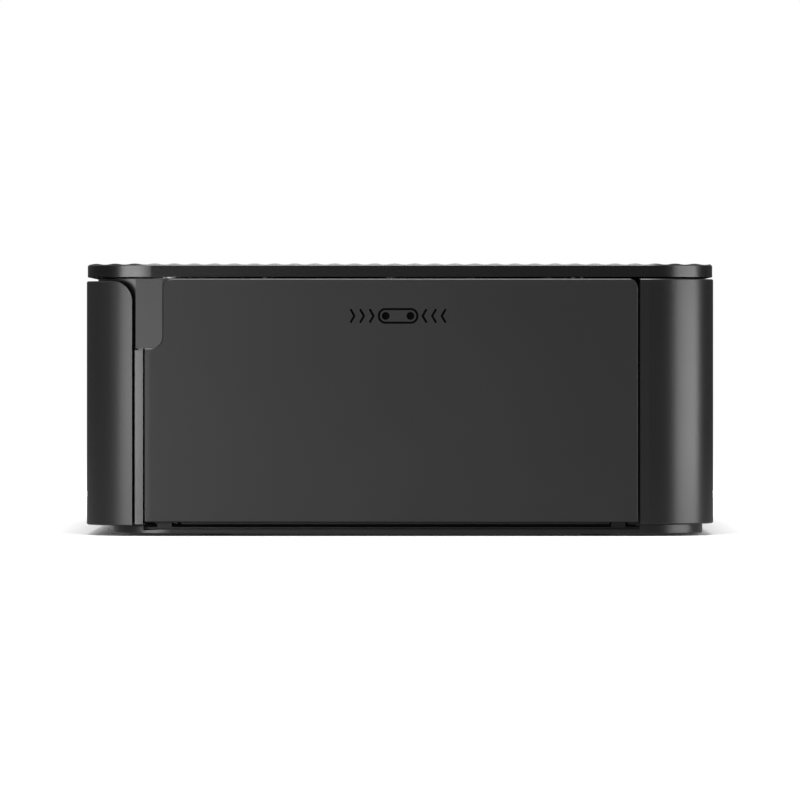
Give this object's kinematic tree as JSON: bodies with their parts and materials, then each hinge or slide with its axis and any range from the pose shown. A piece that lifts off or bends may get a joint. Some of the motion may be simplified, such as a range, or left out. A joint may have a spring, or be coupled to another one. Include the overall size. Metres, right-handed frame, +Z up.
{
  "type": "compact photo printer",
  "caption": "Black desktop dye-sublimation photo printer: low box with rounded corners, rippled top with screen and keys, drop-down paper door, ink door, ribbon cassette, print mechanism",
  "frame": {"origin": "on the table under the middle of the printer, at the soles of the feet", "axes": "+Z up, -Y the front with the paper door, +X the right side with the ink door, +Y the rear"},
  "size_m": [0.1822, 0.1324, 0.0572],
  "materials": {
    "case_plastic": "fine moulded texture",
    "door_plastic": "satin",
    "lid_plastic": "satin, rippled",
    "key_plastic": "satin",
    "window_plastic": "clear acrylic over black print",
    "screen_glass": "glass",
    "foot_rubber": "matt",
    "roller_rubber": "matt",
    "zinc_steel": "zinc plated",
    "sheet_steel": "galvanised sheet",
    "coated_steel": "black coated sheet",
    "shaft_steel": "ground",
    "motor_steel": "plated can",
    "aluminium_block": "die cast",
    "ceramic": "glazed ceramic",
    "gear_plastic": "acetal",
    "guide_plastic": "moulded",
    "cassette_plastic": "moulded",
    "spool_plastic": "moulded",
    "ribbon_film": "dyed film",
    "circuit_board": "solder mask",
    "connector_steel": "plated shell",
    "connector_plastic": "moulded"
  },
  "bodies": {
    "case": {"base": "case_plastic", "rubber_feet": "foot_rubber", "case_screws": "zinc_steel", "front_frame": "case_plastic", "left_cover": "case_plastic", "rear_cover": "case_plastic", "top_cover": "lid_plastic", "display_window": "window_plastic", "lcd_panel": "screen_glass", "panel_board": "circuit_board", "tact_switches": "connector_plastic", "left_frame_plate": "sheet_steel", "right_frame_plate": "coated_steel", "bearing_blocks": "guide_plastic", "paper_guides": "guide_plastic", "head_pivot_shaft": "shaft_steel", "drive_motor": "motor_steel", "motor_bracket": "sheet_steel", "head_lift_motor": "motor_steel", "fan_housing": "connector_plastic", "main_board": "circuit_board", "card_socket": "connector_steel", "usb_socket": "connector_steel", "usb_c_socket": "connector_steel", "dc_jack": "connector_plastic", "door_hinge_pins": "shaft_steel"},
    "paper_door": {"front_door": "door_plastic"},
    "cassette_door": {"ink_door": "door_plastic"},
    "cassette": {"cassette_housing": "cassette_plastic", "ribbon_film": "ribbon_film"},
    "supply_spool": {"supply_spool_core": "spool_plastic", "supply_ribbon_roll": "ribbon_film"},
    "take_up_spool": {"take_up_spool_core": "spool_plastic", "take_up_ribbon_roll": "ribbon_film"},
    "cassette_lever": {"release_lever": "gear_plastic"},
    "print_head": {"head_bracket": "sheet_steel", "heat_sink": "aluminium_block", "thermal_head": "ceramic"},
    "lift_pinion": {"head_lift_pinion": "shaft_steel"},
    "capstan": {"capstan_shaft": "shaft_steel", "capstan_gear": "gear_plastic"},
    "platen": {"platen_shaft": "shaft_steel", "platen_sleeve": "roller_rubber"},
    "pinch": {"pinch_roller": "shaft_steel"},
    "spool_drive": {"take_up_gear": "gear_plastic"},
    "reduction": {"reduction_gear": "gear_plastic"},
    "motor_shaft": {"motor_pinion": "shaft_steel"},
    "pickup_arm": {"feed_arm": "sheet_steel"},
    "pickup_roller": {"feed_roller": "roller_rubber"},
    "fan_wheel": {"fan_rotor": "connector_plastic"},
    "copies_key": {"copies_rocker": "key_plastic"},
    "ok_key": {"ok_button": "key_plastic"},
    "right_key": {"right_button": "key_plastic"},
    "up_key": {"up_button": "key_plastic"},
    "left_key": {"left_button": "key_plastic"},
    "down_key": {"down_button": "key_plastic"},
    "power_key": {"power_button": "key_plastic"},
    "home_key": {"home_button": "key_plastic"},
    "back_key": {"back_button": "key_plastic"},
    "print_key": {"print_button": "key_plastic"}
  },
  "joints": [
    {"name": "paper_door_hinge", "type": "hinge", "parent": "case", "child": "paper_door", "pos_m": [0, -0.0629, 0.0039], "axis": [1, 0, 0], "range_deg": [0, 90]},
    {"name": "cassette_door_hinge", "type": "hinge", "parent": "case", "child": "cassette_door", "pos_m": [0.0881, 0, 0.0047], "axis": [0, 1, 0], "range_deg": [0, 90]},
    {"name": "cassette_slide", "type": "slide", "parent": "case", "child": "cassette", "axis": [1, 0, 0], "range_m": [0, 0.00403]},
    {"name": "lever_pivot", "type": "hinge", "parent": "case", "child": "cassette_lever", "pos_m": [0.07595, 0.0475, 0.035], "axis": [0, 0, 1], "range_deg": [0, 35]},
    {"name": "supply_spool_spin", "type": "hinge", "parent": "cassette", "child": "supply_spool", "pos_m": [0.021, -0.029, 0.03488], "axis": [1, 0, 0], "continuous": true},
    {"name": "take_up_spool_spin", "type": "hinge", "parent": "cassette", "child": "take_up_spool", "pos_m": [0.021, 0.029, 0.03488], "axis": [1, 0, 0], "continuous": true},
    {"name": "head_swing", "type": "hinge", "parent": "case", "child": "print_head", "pos_m": [0.021, 0.047, 0.0486], "axis": [1, 0, 0], "range_deg": [0, 4.6]},
    {"name": "lift_pinion_spin", "type": "hinge", "parent": "case", "child": "lift_pinion", "pos_m": [-0.041, 0.05375, 0.03691], "axis": [1, 0, 0], "range_deg": [-13.2, 0]},
    {"name": "capstan_spin", "type": "hinge", "parent": "case", "child": "capstan", "pos_m": [0.021, 0.0215, 0.0158], "axis": [1, 0, 0], "continuous": true},
    {"name": "platen_spin", "type": "hinge", "parent": "case", "child": "platen", "pos_m": [0.021, 0, 0.0138], "axis": [1, 0, 0], "continuous": true},
    {"name": "pinch_spin", "type": "hinge", "parent": "case", "child": "pinch", "pos_m": [0.021, 0.0215, 0.0225], "axis": [1, 0, 0], "continuous": true},
    {"name": "spool_drive_spin", "type": "hinge", "parent": "case", "child": "spool_drive", "pos_m": [-0.045, 0.029, 0.03488], "axis": [1, 0, 0], "continuous": true},
    {"name": "reduction_spin", "type": "hinge", "parent": "case", "child": "reduction", "pos_m": [-0.047, 0.035, 0.0158], "axis": [1, 0, 0], "continuous": true},
    {"name": "motor_spin", "type": "hinge", "parent": "case", "child": "motor_shaft", "pos_m": [-0.049, 0.035, 0.0308], "axis": [1, 0, 0], "continuous": true},
    {"name": "pickup_arm_swing", "type": "hinge", "parent": "case", "child": "pickup_arm", "pos_m": [0.021, -0.034, 0.0196], "axis": [1, 0, 0], "range_deg": [-10, 0]},
    {"name": "pickup_roller_spin", "type": "hinge", "parent": "pickup_arm", "child": "pickup_roller", "pos_m": [0.021, -0.024, 0.0188], "axis": [1, 0, 0], "continuous": true},
    {"name": "fan_spin", "type": "hinge", "parent": "case", "child": "fan_wheel", "pos_m": [-0.0855, 0.028, 0.027], "axis": [1, 0, 0], "continuous": true},
    {"name": "ok_key_press", "type": "slide", "parent": "case", "child": "ok_key", "axis": [0, 0, -1], "range_m": [0, 0.0008], "stiffness_N_per_m": 400, "springref_m": -0.0005},
    {"name": "right_key_press", "type": "slide", "parent": "case", "child": "right_key", "axis": [0, 0, -1], "range_m": [0, 0.0008], "stiffness_N_per_m": 400, "springref_m": -0.0005},
    {"name": "up_key_press", "type": "slide", "parent": "case", "child": "up_key", "axis": [0, 0, -1], "range_m": [0, 0.0008], "stiffness_N_per_m": 400, "springref_m": -0.0005},
    {"name": "left_key_press", "type": "slide", "parent": "case", "child": "left_key", "axis": [0, 0, -1], "range_m": [0, 0.0008], "stiffness_N_per_m": 400, "springref_m": -0.0005},
    {"name": "down_key_press", "type": "slide", "parent": "case", "child": "down_key", "axis": [0, 0, -1], "range_m": [0, 0.0008], "stiffness_N_per_m": 400, "springref_m": -0.0005},
    {"name": "power_key_press", "type": "slide", "parent": "case", "child": "power_key", "axis": [0, 0, -1], "range_m": [0, 0.0008], "stiffness_N_per_m": 400, "springref_m": -0.0005},
    {"name": "home_key_press", "type": "slide", "parent": "case", "child": "home_key", "axis": [0, 0, -1], "range_m": [0, 0.0008], "stiffness_N_per_m": 400, "springref_m": -0.0005},
    {"name": "back_key_press", "type": "slide", "parent": "case", "child": "back_key", "axis": [0, 0, -1], "range_m": [0, 0.0008], "stiffness_N_per_m": 400, "springref_m": -0.0005},
    {"name": "print_key_press", "type": "slide", "parent": "case", "child": "print_key", "axis": [0, 0, -1], "range_m": [0, 0.0008], "stiffness_N_per_m": 400, "springref_m": -0.0005},
    {"name": "copies_key_rock", "type": "hinge", "parent": "case", "child": "copies_key", "pos_m": [0.0746, 0.006, 0.0537], "axis": [1, 0, 0], "range_deg": [-3, 3], "stiffness_Nm_per_rad": 0.02}
  ],
  "couplings": [
    {"joint": "lever_pivot", "follows": "cassette_slide", "rad_per_m": 151.52},
    {"joint": "take_up_spool_spin", "follows": "capstan_spin", "ratio": -0.95238},
    {"joint": "lift_pinion_spin", "follows": "head_swing", "ratio": -2.8571},
    {"joint": "platen_spin", "follows": "capstan_spin", "ratio": 0.66667},
    {"joint": "pinch_spin", "follows": "capstan_spin", "ratio": -1.6667},
    {"joint": "spool_drive_spin", "follows": "capstan_spin", "ratio": -0.95238},
    {"joint": "reduction_spin", "follows": "capstan_spin", "ratio": -2.8571},
    {"joint": "motor_spin", "follows": "capstan_spin", "ratio": 11.429}
  ]
}
